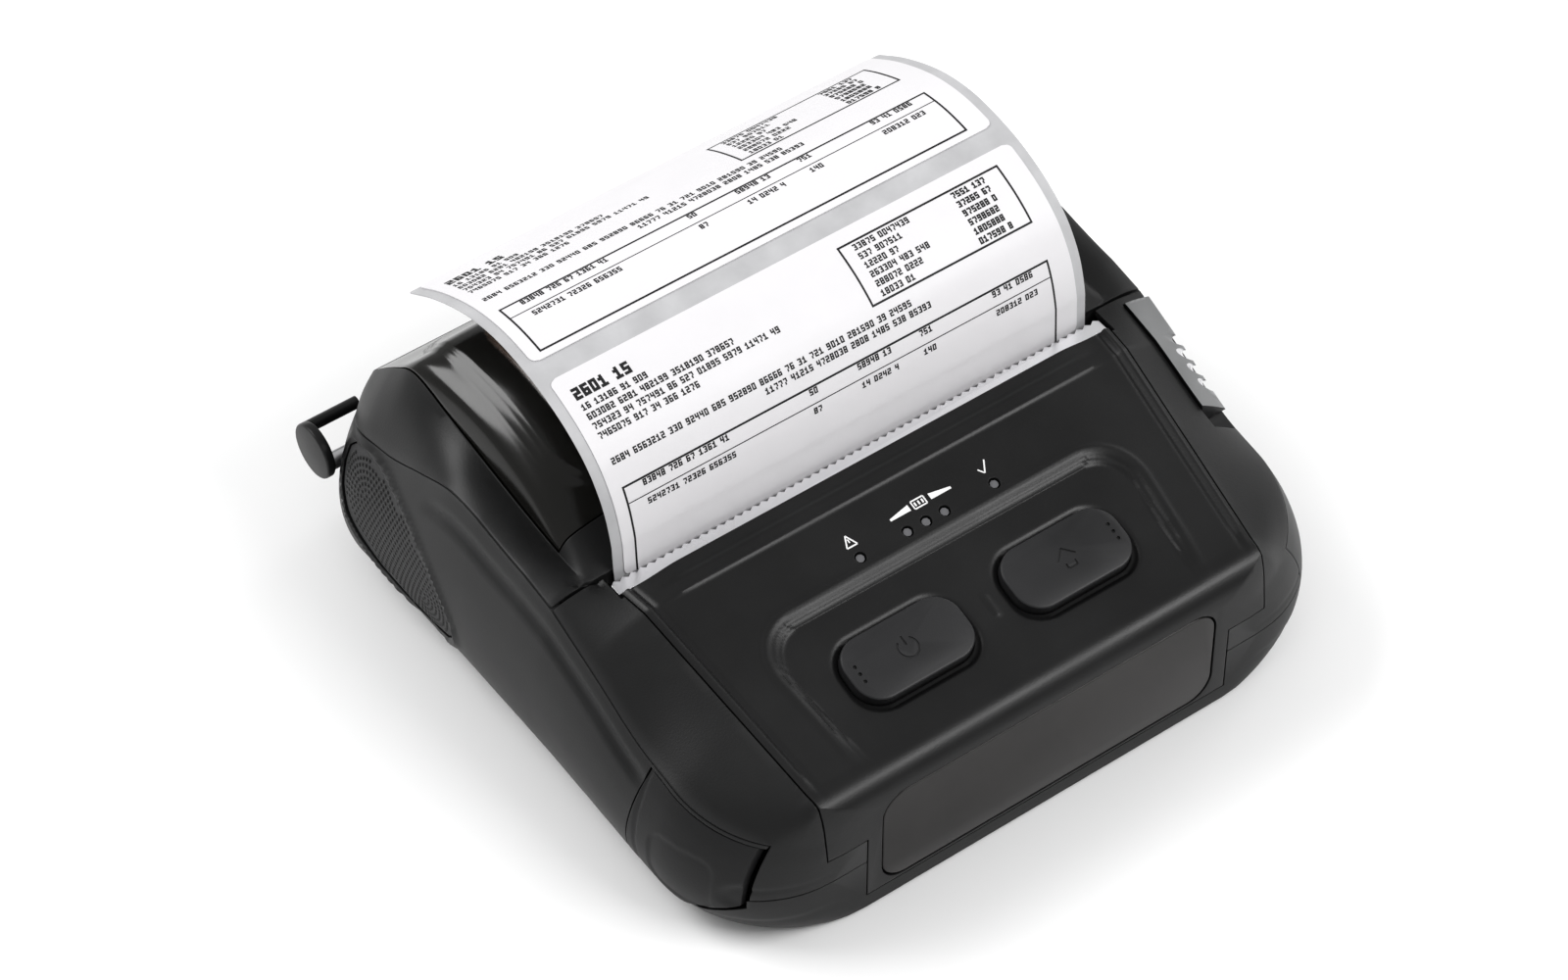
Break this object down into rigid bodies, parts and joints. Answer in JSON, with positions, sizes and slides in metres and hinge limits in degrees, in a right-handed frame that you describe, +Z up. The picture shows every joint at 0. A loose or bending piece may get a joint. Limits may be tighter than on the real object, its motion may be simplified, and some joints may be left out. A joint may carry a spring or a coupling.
{
  "type": "portable label printer",
  "caption": "Portable thermal label printer: tub with strap bars and sloping key panel, hinged lid with smoked window over the roll, driven platen, latch and removable battery.",
  "frame": {"origin": "on the surface that the feet stand on, under the paper slot, midway between the sides", "axes": "+X to the printer's right, +Y to its rear, +Z up"},
  "size_m": [0.15, 0.1452, 0.0798],
  "materials": {
    "case_plastic": "fine matt grain",
    "cover_plastic": "fine satin grain",
    "inset_plastic": "satin",
    "smoked_window": "smoked, clear",
    "lever_plastic": "matt",
    "black_rubber": "matt",
    "clear_plastic": "clear",
    "steel": "bright",
    "aluminium": "plain",
    "ceramic": "glazed line",
    "nylon": "natural",
    "board_green": "solder mask",
    "cardboard": "plain",
    "paper": "smooth",
    "brass": "plain"
  },
  "bodies": {
    "case": {"battery_contacts": "brass", "button_mat": "black_rubber", "case_screw_front_left": "steel", "case_screw_front_right": "steel", "case_screw_rear_left": "steel", "case_screw_rear_right": "steel", "dc_jack": "case_plastic", "foot_front_left": "black_rubber", "foot_front_right": "black_rubber", "foot_rear_left": "black_rubber", "foot_rear_right": "black_rubber", "front_cover": "cover_plastic", "front_rail_left": "case_plastic", "front_rail_right": "case_plastic", "head_bracket": "steel", "head_spring_left": "steel", "head_spring_right": "steel", "heat_sink": "aluminium", "hinge_pin_left": "steel", "hinge_pin_right": "steel", "idler_pin": "steel", "inset_panel": "inset_plastic", "key_board": "board_green", "latch_spring": "steel", "light_guide": "clear_plastic", "lower_case": "case_plastic", "main_board": "board_green", "motor": "aluminium", "paper_web": "paper", "printhead": "ceramic", "roll_cradle": "case_plastic", "side_frame_left": "steel", "side_frame_right": "steel", "side_grip_left": "black_rubber", "side_grip_right": "black_rubber", "strap_bar_left": "cover_plastic", "strap_bar_right": "cover_plastic", "tear_bar": "steel", "usb_port": "steel"},
    "lid": {"lid_frame": "case_plastic", "lid_window": "smoked_window", "platen_bush_left": "brass", "platen_bush_right": "brass", "liner_strip": "paper", "lower_label": "paper", "upper_label": "paper"},
    "platen": {"platen_shaft": "steel", "platen_rubber": "black_rubber", "platen_gear": "nylon"},
    "idler": {"idler_gear": "nylon"},
    "pinion": {"motor_pinion": "nylon"},
    "roll": {"media_roll": "paper", "roll_core": "cardboard"},
    "latch": {"latch_bar": "steel"},
    "lever": {"open_lever": "lever_plastic"},
    "power_key": {"power_button": "cover_plastic"},
    "feed_key": {"feed_button": "cover_plastic"},
    "flap": {"interface_flap": "black_rubber"},
    "battery": {"battery_pack": "case_plastic"},
    "battery_catch": {"battery_latch": "cover_plastic"}
  },
  "joints": [
    {"name": "lid_hinge", "type": "hinge", "parent": "case", "child": "lid", "pos_m": [0, 0.072, 0.02], "axis": [-1, 0, 0], "range_deg": [0, 100]},
    {"name": "roll_spin", "type": "hinge", "parent": "case", "child": "roll", "pos_m": [0, 0.0285, 0.0295], "axis": [1, 0, 0], "continuous": true},
    {"name": "platen_spin", "type": "hinge", "parent": "lid", "child": "platen", "pos_m": [0, -0.0008, 0.0405], "axis": [1, 0, 0], "continuous": true},
    {"name": "idler_spin", "type": "hinge", "parent": "case", "child": "idler", "pos_m": [0, 0.00303, 0.0262], "axis": [1, 0, 0], "continuous": true},
    {"name": "pinion_spin", "type": "hinge", "parent": "case", "child": "pinion", "pos_m": [0, -0.00687, 0.01631], "axis": [1, 0, 0], "continuous": true},
    {"name": "latch_turn", "type": "hinge", "parent": "case", "child": "latch", "pos_m": [0, -0.0055, 0.0275], "axis": [1, 0, 0], "range_deg": [0, 15], "stiffness_Nm_per_rad": 0.12},
    {"name": "lever_slide", "type": "slide", "parent": "case", "child": "lever", "axis": [0, -1, 0], "range_m": [0, 0.0039]},
    {"name": "power_press", "type": "slide", "parent": "case", "child": "power_key", "axis": [0, 0.273, -0.962], "range_m": [0, 0.0008], "stiffness_N_per_m": 800},
    {"name": "feed_press", "type": "slide", "parent": "case", "child": "feed_key", "axis": [0, 0.273, -0.962], "range_m": [0, 0.0008], "stiffness_N_per_m": 800},
    {"name": "flap_hinge", "type": "hinge", "parent": "case", "child": "flap", "pos_m": [-0.075, -0.0345, 0.0151], "axis": [0, 0, -1], "range_deg": [0, 110]},
    {"name": "battery_slide", "type": "slide", "parent": "case", "child": "battery", "axis": [0, 0, -1], "range_m": [0, 0.022]},
    {"name": "battery_catch_slide", "type": "slide", "parent": "case", "child": "battery_catch", "axis": [0, 1, 0], "range_m": [0, 0.003], "stiffness_N_per_m": 300}
  ],
  "couplings": [
    {"joint": "platen_spin", "follows": "roll_spin", "ratio": 4.9},
    {"joint": "idler_spin", "follows": "roll_spin", "ratio": -2.352},
    {"joint": "pinion_spin", "follows": "roll_spin", "ratio": 5.88},
    {"joint": "latch_turn", "follows": "lever_slide", "rad_per_m": 66.667}
  ]
}
